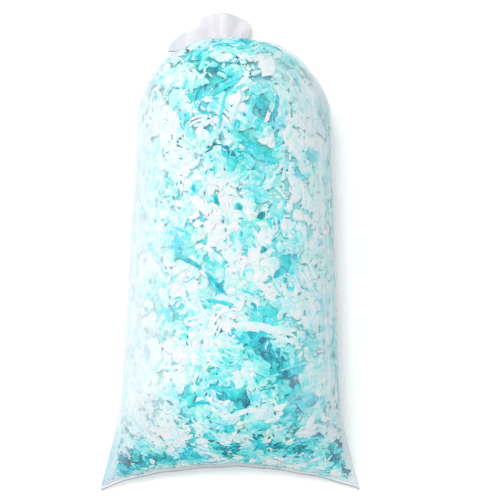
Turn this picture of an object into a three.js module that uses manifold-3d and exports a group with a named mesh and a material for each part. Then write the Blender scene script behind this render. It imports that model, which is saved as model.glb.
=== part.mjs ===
// Clear film bag packed with shredded memory foam, lying on its back.
// Millimetres, +Z up. +Y runs from the welded foot to the gathered neck, +X to the right seen from above.
import * as THREE from "three";
import { ConvexGeometry } from "three/addons/geometries/ConvexGeometry.js";
import { mergeVertices } from "three/addons/utils/BufferGeometryUtils.js";
import Module from "manifold-3d";

const wasm = await Module();
wasm.setup();

// Film: a blown polyethylene tube, welded straight across the foot
const LAY_FLAT_WIDTH = 457; // ear tip to ear tip, the 18 inch tube laid flat
const FILM_GAUGE = 0.1; // about 4 mil
const SEAM_STRIP = 6; // film left below the weld
const WELD_BEAD = 1; // half thickness where the two walls part

// Filled body, seen from above
const BODY_LENGTH = 740; // middle of the weld to the crown
const CROWN_LENGTH = 143; // rounded end next to the neck
const HIP_WIDTH = 379; // where the flare to the ears begins
const SHOULDER_WIDTH = 332; // where the crown begins
const BODY_LEAN = 8; // how far the shoulders lie to the right of the foot
const FLARE_LENGTH = 115;
const EAR_DROP = 44; // how far the ear tips reach past the middle of the seam

// Filled body, seen from the side
const BODY_HEIGHT = 205;
const WIDEST_HEIGHT = 88; // the bag is widest at this height
const FLOOR_SINK = 10; // how much of the round back the floor presses flat
const FOOT_ROUNDING = 140; // length over which the body thins down to the seam
const SEAM_HEIGHT = 44;
const EAR_SAG = 30; // the ears hang this much lower than the middle of the seam
const PUCKERS = 9; // soft folds that the weld leaves in the film
const PUCKER_DEPTH = 3;

// Gathered neck and its tail
const NECK_RADIUS = 13;
const NECK_LENGTH = 12;
const NECK_HEIGHT = 40; // height of the neck's middle above the floor
const NECK_OFFSET = -14; // the neck lies left of the middle
const NECK_TILT = THREE.MathUtils.degToRad(35); // the neck points down, under the crown
const CROWN_OVERHANG = 18; // how far the crown hides the neck from above
const NECK_CHANNEL = 1.5; // radius of the gap left in the bunched film
const NECK_PLEATS = 9;
const PLEAT_DEPTH = 0.13; // as a share of the radius at the neck
const TAIL_LENGTH = 62;
const TAIL_SIDE_LENGTH = 104; // the longer left lobe
const TAIL_SPREAD = [20, 184].map(THREE.MathUtils.degToRad); // from the right edge to the left edge
const TAIL_HEM = 1; // film doubled along the tail's two edges
const TAIL_GAP = 3; // half the space between the tail's two walls
const TAIL_WAVES = 6;
const TAIL_WAVE_HEIGHT = 6;
const TAIL_HEIGHT = 18; // height of the mouth's middle above the floor

// Twist tie round the neck
const TIE_WIDTH = 4;
const TIE_THICKNESS = 1.2;
const TIE_END_LENGTH = 22;
const TIE_END_TURNS = 2.5;
const FIT = 0.3; // clearance between pieces that touch

// Foam: clumps of shreds that share the room inside the film
// Each row from the foot up: its clumps across the top from right to left, then across the back
const CLUMP_COLOURS = [
  ["aaaa", "aw"],
  ["aaaw", "wa"],
  ["waww", "ww"],
  ["awaw", "aw"],
  ["wwaw", "wa"],
  ["waww", "aw"],
  ["waww", "ww"],
  ["awaw", "wa"],
];
const CLUMP_SCATTER = 0.3; // as a share of a clump's own size
const CLUMP_DEPTH = 0.3; // a clump's middle lies this share of the way in from the film
const SHRED_LAYER = 4; // depth over which single shreds stand out of a clump
const SHRED_LENGTH = [36, 72];
const SHRED_WIDTH = [18, 36];
const SHRED_THICKNESS = [7, 11]; // above its widest part
const SHRED_BED = 5; // how deep its widest part is bedded in the packed middle
const RIDGE_SHARE = 0.6; // its ridge against its length
const SHRED_COUNT = 96;
const SHREDS_ON_TOP = 0.75; // share of them on the upper side
const SHRED_SLANT = 0.2; // radians either way from lying flat
const PLACES_TRIED = 8;
const SHRED_SEED = 5;

// Colours and finishes
const filmMaterial = new THREE.MeshStandardMaterial({
  color: 0xf1f5f7, roughness: 0.18, metalness: 0, transparent: true, opacity: 0.3,
});
const aquaFoam = new THREE.MeshStandardMaterial({ color: 0x5cd3e2, roughness: 0.95, metalness: 0 });
const whiteFoam = new THREE.MeshStandardMaterial({ color: 0xf3f4f6, roughness: 0.95, metalness: 0 });
const tieMaterial = new THREE.MeshStandardMaterial({ color: 0xf4f4f2, roughness: 0.5, metalness: 0 });

// How full the sections are: 2 is an ellipse, less is a lens, more is nearer a box
const SEAM_FULLNESS = 1.25;
const TOP_FULLNESS = 2.3;
const BACK_FULLNESS = 2.6;
const NECK_FULLNESS = 2;
const FOOT_FULLNESS = 0.6; // how quickly the foot swells behind the seam

const LOOP_POINTS = 32;
const EAR_POWER = 2.2; // how sharply the foot seam turns down to the ears
const FLARE_POWER = 1.7;
const SHOULDER = BODY_LENGTH - CROWN_LENGTH;
const NECK_REACH = CROWN_LENGTH - CROWN_OVERHANG;
const angles = Array.from({ length: LOOP_POINTS }, (_, k) => (2 * Math.PI * k) / LOOP_POINTS);
const { lerp, smoothstep } = THREE.MathUtils;

// Repeatable random numbers from 0 to 1.
function randomSource(seed) {
  let state = seed;
  return () => {
    state = (state + 0x6d2b79f5) | 0;
    let t = Math.imul(state ^ (state >>> 15), state | 1);
    t = (t + Math.imul(t ^ (t >>> 7), t | 61)) ^ t;
    return ((t ^ (t >>> 14)) >>> 0) / 2 ** 32;
  };
}

// The bag's cross-section at a distance from the seam: its half sizes, its place and how it is bent.
function bodySection(distance) {
  const flare = Math.max(0, 1 - distance / FLARE_LENGTH);
  const foot = Math.max(0, 1 - distance / FOOT_ROUNDING);
  const round = (1 - foot ** 2) ** FOOT_FULLNESS;
  const along = (distance - FLARE_LENGTH) / (SHOULDER - FLARE_LENGTH);
  const straight = lerp(HIP_WIDTH, SHOULDER_WIDTH, Math.max(0, along)) / 2;
  const rise = smoothstep(distance, 0, FOOT_ROUNDING);
  return {
    x: (BODY_LEAN * distance) / SHOULDER,
    y: distance,
    z: lerp(SEAM_HEIGHT, WIDEST_HEIGHT, round),
    halfWidth: straight + (LAY_FLAT_WIDTH / 2 - HIP_WIDTH / 2) * flare ** FLARE_POWER,
    up: Math.max(FILM_GAUGE, (BODY_HEIGHT - WIDEST_HEIGHT) * round),
    low: Math.max(FILM_GAUGE, (WIDEST_HEIGHT + FLOOR_SINK) * round),
    upFullness: lerp(SEAM_FULLNESS, TOP_FULLNESS, rise),
    lowFullness: lerp(SEAM_FULLNESS, BACK_FULLNESS, rise),
    earDrop: EAR_DROP * flare ** 2,
    earSag: EAR_SAG * flare ** 2,
    pucker: PUCKER_DEPTH * foot * round,
    pleat: 0,
    tilt: 0,
  };
}

// Past the shoulders the section closes on the neck and turns down with it.
function crownSection(distance) {
  const lean = Math.min(1, (distance - SHOULDER) / NECK_REACH);
  const open = Math.sqrt(1 - lean ** 2);
  return {
    x: BODY_LEAN + NECK_OFFSET * (1 - open),
    y: SHOULDER + NECK_REACH * lean,
    z: lerp(NECK_HEIGHT, WIDEST_HEIGHT, open),
    halfWidth: lerp(NECK_RADIUS, SHOULDER_WIDTH / 2, open),
    up: lerp(NECK_RADIUS, BODY_HEIGHT - WIDEST_HEIGHT, open),
    low: lerp(NECK_RADIUS, WIDEST_HEIGHT + FLOOR_SINK, open),
    upFullness: lerp(NECK_FULLNESS, TOP_FULLNESS, open),
    lowFullness: lerp(NECK_FULLNESS, BACK_FULLNESS, open),
    earDrop: 0,
    earSag: 0,
    pucker: 0,
    pleat: PLEAT_DEPTH * (1 - open) ** 2,
    tilt: NECK_TILT * lean,
  };
}

const sectionAt = (distance) => (distance <= SHOULDER ? bodySection(distance) : crownSection(distance));

// One point of a section, moved in from the film's outside by inset and never below the floor.
function sectionPoint(section, theta, inset) {
  const side = Math.cos(theta);
  const rise = Math.sin(theta);
  const power = 2 / (rise >= 0 ? section.upFullness : section.lowFullness);
  const across = Math.sign(side) * Math.abs(side) ** power;
  const edge = Math.abs(across) ** EAR_POWER;
  const fold = 1 + section.pleat * Math.cos(NECK_PLEATS * theta);
  const depth = (rise >= 0 ? section.up : section.low) - inset;
  const pucker = section.pucker * Math.cos(PUCKERS * theta) * (1 - edge);
  const height = (depth * Math.abs(rise) ** power - pucker) * Math.sign(rise) * fold;
  return new THREE.Vector3(
    section.x + (section.halfWidth - inset) * across * fold,
    section.y - section.earDrop * edge + height * Math.sin(section.tilt),
    Math.max(inset, section.z - section.earSag * edge + height * Math.cos(section.tilt)),
  );
}

const sectionLoop = (section, inset, step = 1) =>
  angles.filter((_, k) => k % step === 0).map((theta) => sectionPoint(section, theta, inset));

// Loops of points skinned in order, closed at both ends by a strip from side to side.
// From the loop where the surface turns back inside, its facets match the outer facets they line.
function skin(loops, turn = loops.length) {
  const positions = loops.flat().flatMap((p) => p.toArray());
  const triangles = [];
  const count = loops[0].length;
  const at = (loop, k) => loop * count + (k % count);
  for (let loop = 0; loop + 1 < loops.length; loop++)
    for (let k = 0; k < count; k++) {
      const [a, b, c, d] = [at(loop, k), at(loop, k + 1), at(loop + 1, k + 1), at(loop + 1, k)];
      triangles.push(...(loop < turn ? [a, c, b, a, d, c] : [a, d, b, b, d, c]));
    }
  const cap = (loop, facing) => {
    for (let k = 0; k < count / 2; k++) {
      const [a, b] = [at(loop, k), at(loop, k + 1)];
      const [c, d] = [at(loop, count - k - 1), at(loop, count - k)];
      for (const t of [[a, b, c], [a, c, d]])
        if (new Set(t).size === 3) triangles.push(...(facing ? t : [t[0], t[2], t[1]]));
    }
  };
  cap(0, true);
  cap(loops.length - 1, false);
  const geometry = new THREE.BufferGeometry();
  geometry.setAttribute("position", new THREE.Float32BufferAttribute(positions, 3));
  geometry.setIndex(triangles);
  return geometry;
}

function toSolid(geometry) {
  const bare = geometry.clone();
  bare.deleteAttribute("normal");
  bare.deleteAttribute("uv");
  const merged = mergeVertices(bare);
  return new wasm.Manifold(
    new wasm.Mesh({
      numProp: 3,
      vertProperties: new Float32Array(merged.attributes.position.array),
      triVerts: new Uint32Array(merged.index.array),
    }),
  );
}

function toGeometry(solid) {
  const mesh = solid.getMesh();
  const geometry = new THREE.BufferGeometry();
  geometry.setAttribute("position", new THREE.BufferAttribute(mesh.vertProperties, 3));
  geometry.setIndex(new THREE.BufferAttribute(mesh.triVerts, 1));
  geometry.computeVertexNormals();
  return geometry;
}

// Distances from the seam at which the bag's sections are drawn
const FOOT_DISTANCES = [0.04, 0.12, 0.24, 0.4, 0.62, 0.85].map((share) => share * FOOT_ROUNDING);
const BODY_DISTANCES = [0, 0.34, 0.67, 1].map((share) => lerp(FOOT_ROUNDING, SHOULDER, share));
const CROWN_DISTANCES = [12, 26, 40, 53, 65, 75, 84].map(
  (turn) => SHOULDER + NECK_REACH * Math.sin(THREE.MathUtils.degToRad(turn)),
);
const distances = [...FOOT_DISTANCES, ...BODY_DISTANCES, ...CROWN_DISTANCES];
const gatherSection = crownSection(SHOULDER + NECK_REACH);

// Where the neck lets go of the tail.
const neckDirection = new THREE.Vector3(0, Math.cos(NECK_TILT), -Math.sin(NECK_TILT));
const gather = new THREE.Vector3(gatherSection.x, gatherSection.y, gatherSection.z);
const neckEnd = gather.clone().addScaledVector(neckDirection, NECK_LENGTH);

// The neck's pleated round, at a point along it. Its wall is the bunched film.
function neckLoop(along, radius) {
  const section = { ...gatherSection, halfWidth: radius, up: radius, low: radius };
  const shift = neckDirection.clone().multiplyScalar(along);
  return sectionLoop(section, 0).map((p) => p.add(shift));
}

// The tail fans out from the neck in soft waves. Its upper wall runs right to left, its lower wall back.
function tailLoop(share, inset) {
  const round = neckLoop(NECK_LENGTH, NECK_RADIUS - inset);
  return angles.map((theta, k) => {
    const upper = theta < Math.PI;
    const turn = (upper ? theta : 2 * Math.PI - theta) / Math.PI;
    const hem = (TAIL_HEM * inset) / FILM_GAUGE / TAIL_LENGTH;
    const spread = lerp(TAIL_SPREAD[0] + hem, TAIL_SPREAD[1] - hem, turn);
    const reach = lerp(TAIL_LENGTH, TAIL_SIDE_LENGTH, smoothstep(turn, 0.75, 1)) * share;
    const wave = TAIL_WAVE_HEIGHT * share * Math.sin(TAIL_WAVES * Math.PI * turn);
    const wall = (TAIL_GAP - inset) * Math.sin(Math.PI * turn) ** 0.5 * (upper ? 1 : -1);
    const mouth = new THREE.Vector3(
      neckEnd.x + reach * Math.cos(spread),
      neckEnd.y + reach * Math.sin(spread),
      lerp(neckEnd.z, TAIL_HEIGHT, smoothstep(share, 0, 1)) + wave + wall,
    );
    return round[k].lerp(mouth, smoothstep(share, 0, 0.55));
  });
}

const TAIL_SHARES = [0.25, 0.5, 0.75, 1];
const seam = bodySection(0);
const bead = { ...seam, y: WELD_BEAD, up: WELD_BEAD, low: WELD_BEAD };
const foot = [sectionLoop({ ...seam, y: -SEAM_STRIP }, 0), sectionLoop(seam, 0), sectionLoop(bead, 0)];
const body = distances.map((distance) => sectionLoop(sectionAt(distance), 0));

// The body's loops moved straight in from the film's outside.
function bodyInside(depth) {
  const outside = skin([...foot, ...body, neckLoop(0, NECK_RADIUS)]);
  outside.computeVertexNormals();
  const normals = outside.attributes.normal;
  return body.map((loop, row) =>
    loop.map((point, k) => {
      const normal = new THREE.Vector3().fromBufferAttribute(normals, (row + foot.length) * LOOP_POINTS + k);
      return point.clone().addScaledVector(normal, -depth);
    }),
  );
}

function filmBag() {
  const outside = [
    ...foot,
    ...body,
    neckLoop(0, NECK_RADIUS),
    neckLoop(NECK_LENGTH, NECK_RADIUS),
    ...TAIL_SHARES.map((share) => tailLoop(share, 0)),
  ];
  const inside = [
    sectionLoop(bead, FILM_GAUGE),
    ...bodyInside(FILM_GAUGE),
    neckLoop(0, NECK_CHANNEL),
    neckLoop(NECK_LENGTH, NECK_CHANNEL),
    ...TAIL_SHARES.map((share) => tailLoop(share, FILM_GAUGE)),
  ];
  return skin([...outside, ...inside.reverse()], outside.length);
}

// Foam: room inside the film, and the packed middle that the outer shreds stand on
const random = randomSource(SHRED_SEED);
const between = ([low, high]) => lerp(low, high, random());
const layerDepth = (section) => Math.min(SHRED_LAYER, section.up / 4);
const foamDistances = distances.slice(0, -1);
const packedSections = foamDistances.filter((_, k) => k % 2 === 0).map(sectionAt);
const room = toSolid(skin(bodyInside(FILM_GAUGE + FIT).slice(0, -1)));
const packed = toSolid(skin(packedSections.map((section) => sectionLoop(section, layerDepth(section), 2))));

const centreOf = (section) => new THREE.Vector3(section.x, section.y, section.z);

// A clump's own place: a little under the surface, scattered off an even layout.
function clumpSeeds() {
  const seeds = [];
  const scatter = () => CLUMP_SCATTER * (2 * random() - 1);
  const addRow = (row, letters, start) => {
    [...letters].forEach((letter, column) => {
      const share = (row + 0.5 + scatter()) / CLUMP_COLOURS.length;
      const section = sectionAt(lerp(foamDistances[0], foamDistances.at(-1), share));
      const theta = start + (Math.PI * (column + 0.5 + scatter())) / letters.length;
      const place = sectionPoint(section, theta, 0).lerp(centreOf(section), CLUMP_DEPTH);
      seeds.push({ place, colour: letter === "a" ? "aqua" : "white" });
    });
  };
  CLUMP_COLOURS.forEach(([top, back], row) => {
    addRow(row, top, 0);
    addRow(row, back, Math.PI);
  });
  return seeds;
}

const seeds = clumpSeeds();

// The part of a solid that is nearer to one clump than to any other, less half the clearance.
function clumpShare(solid, seed) {
  return seeds.reduce((kept, other) => {
    if (other === seed) return kept;
    const away = seed.place.clone().sub(other.place).normalize();
    const middle = seed.place.clone().lerp(other.place, 0.5);
    return kept.trimByPlane(away.toArray(), middle.dot(away) + FIT / 2);
  }, solid);
}

// One torn shred: a wedge with its corners pulled about. Where the bag is thin, its shreds are smaller.
function shred(scale) {
  const sizes = [SHRED_LENGTH, SHRED_WIDTH, SHRED_THICKNESS];
  const [length, width, thickness] = sizes.map((range) => scale * between(range));
  const pull = () => lerp(0.6, 1.1, random()) / 2;
  return [
    new THREE.Vector3(-length * pull(), -width * pull(), 0),
    new THREE.Vector3(-length * pull(), width * pull(), 0),
    new THREE.Vector3(length * pull(), width * pull(), 0),
    new THREE.Vector3(length * pull(), -width * pull(), 0),
    new THREE.Vector3(-length * pull() * RIDGE_SHARE, 0, thickness),
    new THREE.Vector3(length * pull() * RIDGE_SHARE, 0, thickness),
    new THREE.Vector3(0, 0, -thickness / 2),
  ];
}

// A place for a shred, bedded in the packed middle.
function shredPlace() {
  const section = sectionAt(lerp(foamDistances[0], foamDistances.at(-1), random()));
  const theta = Math.PI * (random() + (random() < SHREDS_ON_TOP ? 0 : 1));
  const depth = layerDepth(section) + Math.min(SHRED_BED, section.up / 4);
  return { section, place: sectionPoint(section, theta, depth) };
}

// Shreds keep apart: each takes the loneliest of a few places.
function scatteredShreds() {
  const placed = [];
  const distanceLeft = ({ place }) => Math.min(...placed.map((other) => other.place.distanceTo(place)));
  for (let i = 0; i < SHRED_COUNT; i++) {
    const places = Array.from({ length: PLACES_TRIED }, shredPlace);
    const { section, place } = places.reduce((best, one) => (distanceLeft(one) > distanceLeft(best) ? one : best));
    const outward = place.clone().sub(centreOf(section)).normalize();
    const lie = new THREE.Quaternion().setFromUnitVectors(new THREE.Vector3(0, 0, 1), outward);
    const slant = [SHRED_SLANT, SHRED_SLANT, Math.PI].map((most) => most * (2 * random() - 1));
    lie.multiply(new THREE.Quaternion().setFromEuler(new THREE.Euler(...slant)));
    const scale = Math.sqrt(section.up / (BODY_HEIGHT - WIDEST_HEIGHT));
    placed.push({ place, corners: shred(scale).map((p) => p.applyQuaternion(lie).add(place)) });
  }
  return placed;
}

const shreds = scatteredShreds();

function nearestSeed(place) {
  const reach = (seed) => seed.place.distanceToSquared(place);
  return seeds.reduce((best, seed) => (reach(seed) < reach(best) ? seed : best));
}

// A clump is its share of the packed middle, with its own shreds standing out of it.
function clumpSolid(seed) {
  const own = shreds.filter(({ place }) => nearestSeed(place) === seed);
  const loose = own.map(({ corners }) => toSolid(new ConvexGeometry(corners)));
  const heap = loose.reduce((sum, one) => sum.add(one), clumpShare(packed, seed));
  const fitted = clumpShare(heap.intersect(room), seed);
  return fitted.decompose().reduce((a, b) => (a.volume() > b.volume() ? a : b));
}

// Twist tie: a band round the neck and its two ends wound together
function twistTie() {
  const inner = NECK_RADIUS * (1 + PLEAT_DEPTH) + FIT;
  const outer = inner + TIE_THICKNESS;
  const half = TIE_WIDTH / 2;
  const profile = [[inner, -half], [outer, -half], [outer, half], [inner, half], [inner, -half]];
  const band = new THREE.LatheGeometry(profile.map(([r, y]) => new THREE.Vector2(r, y)), 18);
  const ends = new THREE.BoxGeometry(TIE_END_LENGTH, TIE_WIDTH, 2 * TIE_THICKNESS, 12, 1, 1);
  const points = ends.attributes.position;
  for (let i = 0; i < points.count; i++) {
    const p = new THREE.Vector3().fromBufferAttribute(points, i);
    p.applyAxisAngle(new THREE.Vector3(1, 0, 0), (p.x / TIE_END_LENGTH) * TIE_END_TURNS * 2 * Math.PI);
    points.setXYZ(i, ...p.toArray());
  }
  ends.translate(outer + TIE_END_LENGTH / 2 - TIE_THICKNESS / 2, 0, 0);
  return toGeometry(toSolid(band).add(toSolid(ends)));
}

// The whole bag, its origin under its middle on the floor
const bag = new THREE.Group();
function addPiece(name, geometry, material) {
  const mesh = new THREE.Mesh(geometry, material.clone());
  mesh.name = name;
  bag.add(mesh);
  return mesh;
}

addPiece("bag_film", filmBag(), filmMaterial);

const tie = addPiece("neck_tie", twistTie(), tieMaterial);
tie.quaternion.setFromUnitVectors(new THREE.Vector3(0, 1, 0), neckDirection);
tie.position.copy(gather).addScaledVector(neckDirection, NECK_LENGTH / 2);

const counts = { aqua: 0, white: 0 };
for (const seed of seeds) {
  counts[seed.colour] += 1;
  const name = `${seed.colour}_shreds_${String(counts[seed.colour]).padStart(2, "0")}`;
  addPiece(name, toGeometry(clumpSolid(seed)), seed.colour === "aqua" ? aquaFoam : whiteFoam);
}

const extent = new THREE.Box3().setFromObject(bag, true);
const middle = extent.getCenter(new THREE.Vector3());
bag.children.forEach((piece) => piece.position.sub(new THREE.Vector3(middle.x, middle.y, extent.min.z)));

export default bag;
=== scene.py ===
"""A clear film bag packed with shredded memory foam, lying on its back on a pale floor."""

import math

import bmesh
import bpy
import numpy as np
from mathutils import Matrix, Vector, noise
from mathutils.bvhtree import BVHTree


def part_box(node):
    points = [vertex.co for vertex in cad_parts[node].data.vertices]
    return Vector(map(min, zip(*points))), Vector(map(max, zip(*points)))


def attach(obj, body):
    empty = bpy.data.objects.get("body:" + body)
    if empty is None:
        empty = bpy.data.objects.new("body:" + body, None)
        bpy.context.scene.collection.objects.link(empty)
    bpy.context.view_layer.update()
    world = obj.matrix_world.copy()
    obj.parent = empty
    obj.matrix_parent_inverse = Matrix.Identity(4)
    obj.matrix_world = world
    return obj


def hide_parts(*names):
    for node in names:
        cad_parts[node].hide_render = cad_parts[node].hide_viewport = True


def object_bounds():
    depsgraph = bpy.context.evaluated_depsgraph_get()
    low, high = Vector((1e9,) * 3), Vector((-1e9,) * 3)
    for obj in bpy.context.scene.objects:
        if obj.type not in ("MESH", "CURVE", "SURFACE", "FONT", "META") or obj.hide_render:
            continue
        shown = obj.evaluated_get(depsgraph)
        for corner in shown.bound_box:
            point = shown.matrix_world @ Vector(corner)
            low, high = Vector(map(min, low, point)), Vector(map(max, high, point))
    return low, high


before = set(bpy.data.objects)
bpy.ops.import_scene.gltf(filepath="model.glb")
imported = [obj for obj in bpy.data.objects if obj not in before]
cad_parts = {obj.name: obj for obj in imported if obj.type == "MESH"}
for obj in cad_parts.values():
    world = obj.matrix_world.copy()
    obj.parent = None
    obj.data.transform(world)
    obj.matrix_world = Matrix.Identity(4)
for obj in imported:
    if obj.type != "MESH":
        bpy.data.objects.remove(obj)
cad_box = [list(corner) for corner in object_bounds()]
MM = 0.001

# Film tube, welded across the foot
LAY_FLAT_WIDTH = 457 * MM
FILM_GAUGE = 0.1 * MM
SEAM_STRIP = 6 * MM
WELD_HALF = 0.4 * MM

# Filled body
BODY_LENGTH = 740 * MM
CROWN_LENGTH = 143 * MM
HIP_WIDTH = 379 * MM
SHOULDER_WIDTH = 332 * MM
BODY_LEAN = 8 * MM
FLARE_LENGTH = 115 * MM
EAR_DROP = 44 * MM
BODY_HEIGHT = 205 * MM
WIDEST_HEIGHT = 88 * MM
FLOOR_SINK = 10 * MM
FOOT_ROUNDING = 140 * MM
SEAM_HEIGHT = 44 * MM
EAR_SAG = 30 * MM
EAR_POWER = 2.2
FLARE_POWER = 1.7
SEAM_FULLNESS = 1.25
TOP_FULLNESS = 2.3
BACK_FULLNESS = 2.6
NECK_FULLNESS = 2
FOOT_FULLNESS = 0.6
SHOULDER = BODY_LENGTH - CROWN_LENGTH

# Gathered neck and tail
NECK_RADIUS = 13 * MM
NECK_LENGTH = 12 * MM
NECK_HEIGHT = 40 * MM
NECK_OFFSET = -14 * MM
NECK_TILT = math.radians(35)
CROWN_OVERHANG = 18 * MM
NECK_REACH = CROWN_LENGTH - CROWN_OVERHANG
NECK_PLEATS = 9
PLEAT_DEPTH = 0.13
TAIL_HEIGHT = 18 * MM
TAIL_GAP = 3 * MM
# The tail's rim, as its reach from the neck at each angle from the right
TAIL_ANGLES = [20, 33, 43, 66, 97, 116, 130, 139, 150, 166, 179, 184]
TAIL_REACH = [42, 48, 59, 58, 62, 64, 68, 63, 63, 88, 103, 104]
# Heights of its ruffles in millimetres, and the share of its length in which it opens out flat
BIG_RUFFLE = 3
SMALL_RUFFLE = 0.6
OPENS_WITHIN = 0.55

# The weld's place in the frame: its ear tips are the lowest points in Y
FOOT_Y = cad_box[0][1] + SEAM_STRIP + EAR_DROP


def linear(hex_colour):
    """An sRGB hex colour as linear RGBA."""
    parts = [int(hex_colour[i : i + 2], 16) / 255 for i in (1, 3, 5)]
    return tuple(c / 12.92 if c <= 0.04045 else ((c + 0.055) / 1.055) ** 2.4 for c in parts) + (1.0,)


def lerp(a, b, t):
    return a + (b - a) * t


def smooth(t):
    t = np.clip(t, 0, 1)
    return t * t * (3 - 2 * t)


def ramp(value, start, end):
    """0 at start, 1 at end, with soft ends."""
    return smooth((value - start) / (end - start))


def bell(value, middle, width):
    return np.exp(-(((value - middle) / width) ** 2))


def noise_at(points, size, seed=0.0):
    """Soft noise from -1 to 1 with features about size across, at an array of points."""
    shift = Vector((seed * 13.1, seed * 7.7, seed * 3.3))
    flat = points.reshape(-1, 3) / size
    values = [noise.noise(Vector(p) + shift) for p in flat]
    return np.array(values).reshape(points.shape[:-1])


def grid_normals(points):
    """Outward normals of a grid whose columns close on themselves."""
    around = np.roll(points, -1, axis=1) - np.roll(points, 1, axis=1)
    along = np.gradient(points, axis=0)
    normals = np.cross(along, around)
    return normals / np.maximum(np.linalg.norm(normals, axis=-1, keepdims=True), 1e-12)


def mesh_piece(name, points, faces, smooth_faces=True):
    mesh = bpy.data.meshes.new(name)
    mesh.from_pydata([tuple(p) for p in points], [], faces)
    mesh.validate()
    mesh.polygons.foreach_set("use_smooth", [smooth_faces] * len(mesh.polygons))
    piece = bpy.data.objects.new(name, mesh)
    bpy.context.collection.objects.link(piece)
    return piece


# Film: the same sections as the CAD bag, drawn finer
AROUND = 240
THETA = np.arange(AROUND) * 2 * math.pi / AROUND
# Rows of film along each stretch of the bag
STRIP_ROWS, FOOT_ROWS, BODY_ROWS, CROWN_ROWS, NECK_ROWS, TAIL_ROWS = 4, 46, 66, 46, 5, 28


def section_points(distance, theta=THETA, inset=0.0):
    """Points of the bag's sections at an array of distances from the weld."""
    d = np.asarray(distance, float)[:, None]
    theta = np.asarray(theta, float)[None, :] if np.ndim(theta) == 1 else theta
    flare = np.clip(1 - d / FLARE_LENGTH, 0, None)
    foot = np.clip(1 - d / FOOT_ROUNDING, 0, None)
    swell = (1 - foot**2) ** FOOT_FULLNESS
    along = np.clip((d - FLARE_LENGTH) / (SHOULDER - FLARE_LENGTH), 0, 1)
    rise = smooth(d / FOOT_ROUNDING)
    lean = np.clip((d - SHOULDER) / NECK_REACH, 0, 1)
    opened = np.sqrt(1 - lean**2)
    straight = lerp(HIP_WIDTH, SHOULDER_WIDTH, along) / 2
    ears = (LAY_FLAT_WIDTH - HIP_WIDTH) / 2 * flare**FLARE_POWER
    half_width = lerp(NECK_RADIUS, straight + ears, opened)
    upper = np.maximum(WELD_HALF, lerp(NECK_RADIUS, (BODY_HEIGHT - WIDEST_HEIGHT) * swell, opened))
    lower = np.maximum(WELD_HALF, lerp(NECK_RADIUS, (WIDEST_HEIGHT + FLOOR_SINK) * swell, opened))
    centre_x = BODY_LEAN * np.minimum(d, SHOULDER) / SHOULDER + NECK_OFFSET * (1 - opened)
    centre_z = lerp(NECK_HEIGHT, lerp(SEAM_HEIGHT, WIDEST_HEIGHT, swell), opened)
    side, high = np.cos(theta), np.sin(theta)
    top_fullness = lerp(NECK_FULLNESS, lerp(SEAM_FULLNESS, TOP_FULLNESS, rise), opened)
    back_fullness = lerp(NECK_FULLNESS, lerp(SEAM_FULLNESS, BACK_FULLNESS, rise), opened)
    power = 2 / np.where(high >= 0, top_fullness, back_fullness)
    across = np.sign(side) * np.abs(side) ** power
    edge = np.abs(across) ** EAR_POWER
    fold = 1 + PLEAT_DEPTH * (1 - opened) ** 2 * np.cos(NECK_PLEATS * theta)
    depth = np.where(high >= 0, upper, lower) - inset
    height = depth * np.abs(high) ** power * np.sign(high) * fold
    tilt = NECK_TILT * lean
    x = centre_x + (half_width - inset) * across * fold
    y = d - EAR_DROP * flare**2 * edge + height * np.sin(tilt)
    z = centre_z - EAR_SAG * flare**2 * edge + height * np.cos(tilt)
    return np.stack(np.broadcast_arrays(x, y + FOOT_Y, np.maximum(z, inset)), axis=-1)


def neck_frame():
    """The neck's start, its end and the ring of its pleats about the start."""
    ring = section_points([SHOULDER + NECK_REACH])[0]
    centre = np.array([BODY_LEAN + NECK_OFFSET, FOOT_Y + SHOULDER + NECK_REACH, NECK_HEIGHT])
    direction = np.array([0, math.cos(NECK_TILT), -math.sin(NECK_TILT)])
    return centre, centre + direction * NECK_LENGTH, ring - centre


def tail_points(shares):
    """The tail fans out of the neck in ruffles. Its upper wall runs right to left, its lower one back."""
    _, end, ring = neck_frame()
    turn = np.where(THETA <= math.pi, THETA, 2 * math.pi - THETA) / math.pi
    wall_side = np.where(THETA <= math.pi, 1.0, -1.0)
    spread = lerp(TAIL_ANGLES[0], TAIL_ANGLES[-1], turn)
    reach = np.interp(spread, TAIL_ANGLES, TAIL_REACH) * MM
    spread = np.radians(spread)
    rows = []
    for share in shares:
        ruffle = BIG_RUFFLE * np.sin(5 * math.pi * turn + 0.6)
        ruffle = ruffle + SMALL_RUFFLE * np.sin(17 * turn + 2 * share)
        wall = TAIL_GAP * np.sqrt(np.sin(math.pi * turn)) * wall_side * (0.6 + 0.4 * np.cos(9 * turn))
        level = lerp(end[2], TAIL_HEIGHT, smooth(share)) + ruffle * share * MM + wall
        x = end[0] + reach * share * np.cos(spread)
        y = end[1] + reach * share * np.sin(spread)
        fan = np.stack([x, y, level], axis=-1)
        rows.append(lerp(end + ring, fan, smooth(share / OPENS_WITHIN)))
    return np.array(rows)


# Creases in the upper film, as points (x, distance from the weld), with height and width in millimetres
CREASES = [
    ([(42, 712), (78, 690), (108, 655), (126, 610)], 2.2, 3.0),
    ([(60, 700), (92, 668), (112, 628), (120, 580)], 1.8, 2.6),
    ([(76, 706), (112, 674), (138, 632), (150, 575)], 2.0, 2.6),
    ([(30, 700), (70, 672), (92, 640)], 1.6, 2.6),
    ([(70, 132), (100, 156), (140, 168), (176, 172)], 2.0, 3.0),
    ([(96, 120), (120, 138), (150, 142)], 1.4, 2.6),
    ([(158, 330), (163, 230), (170, 130)], 1.6, 2.8),
    ([(152, 560), (156, 450), (160, 350)], 1.6, 2.8),
]


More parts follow.
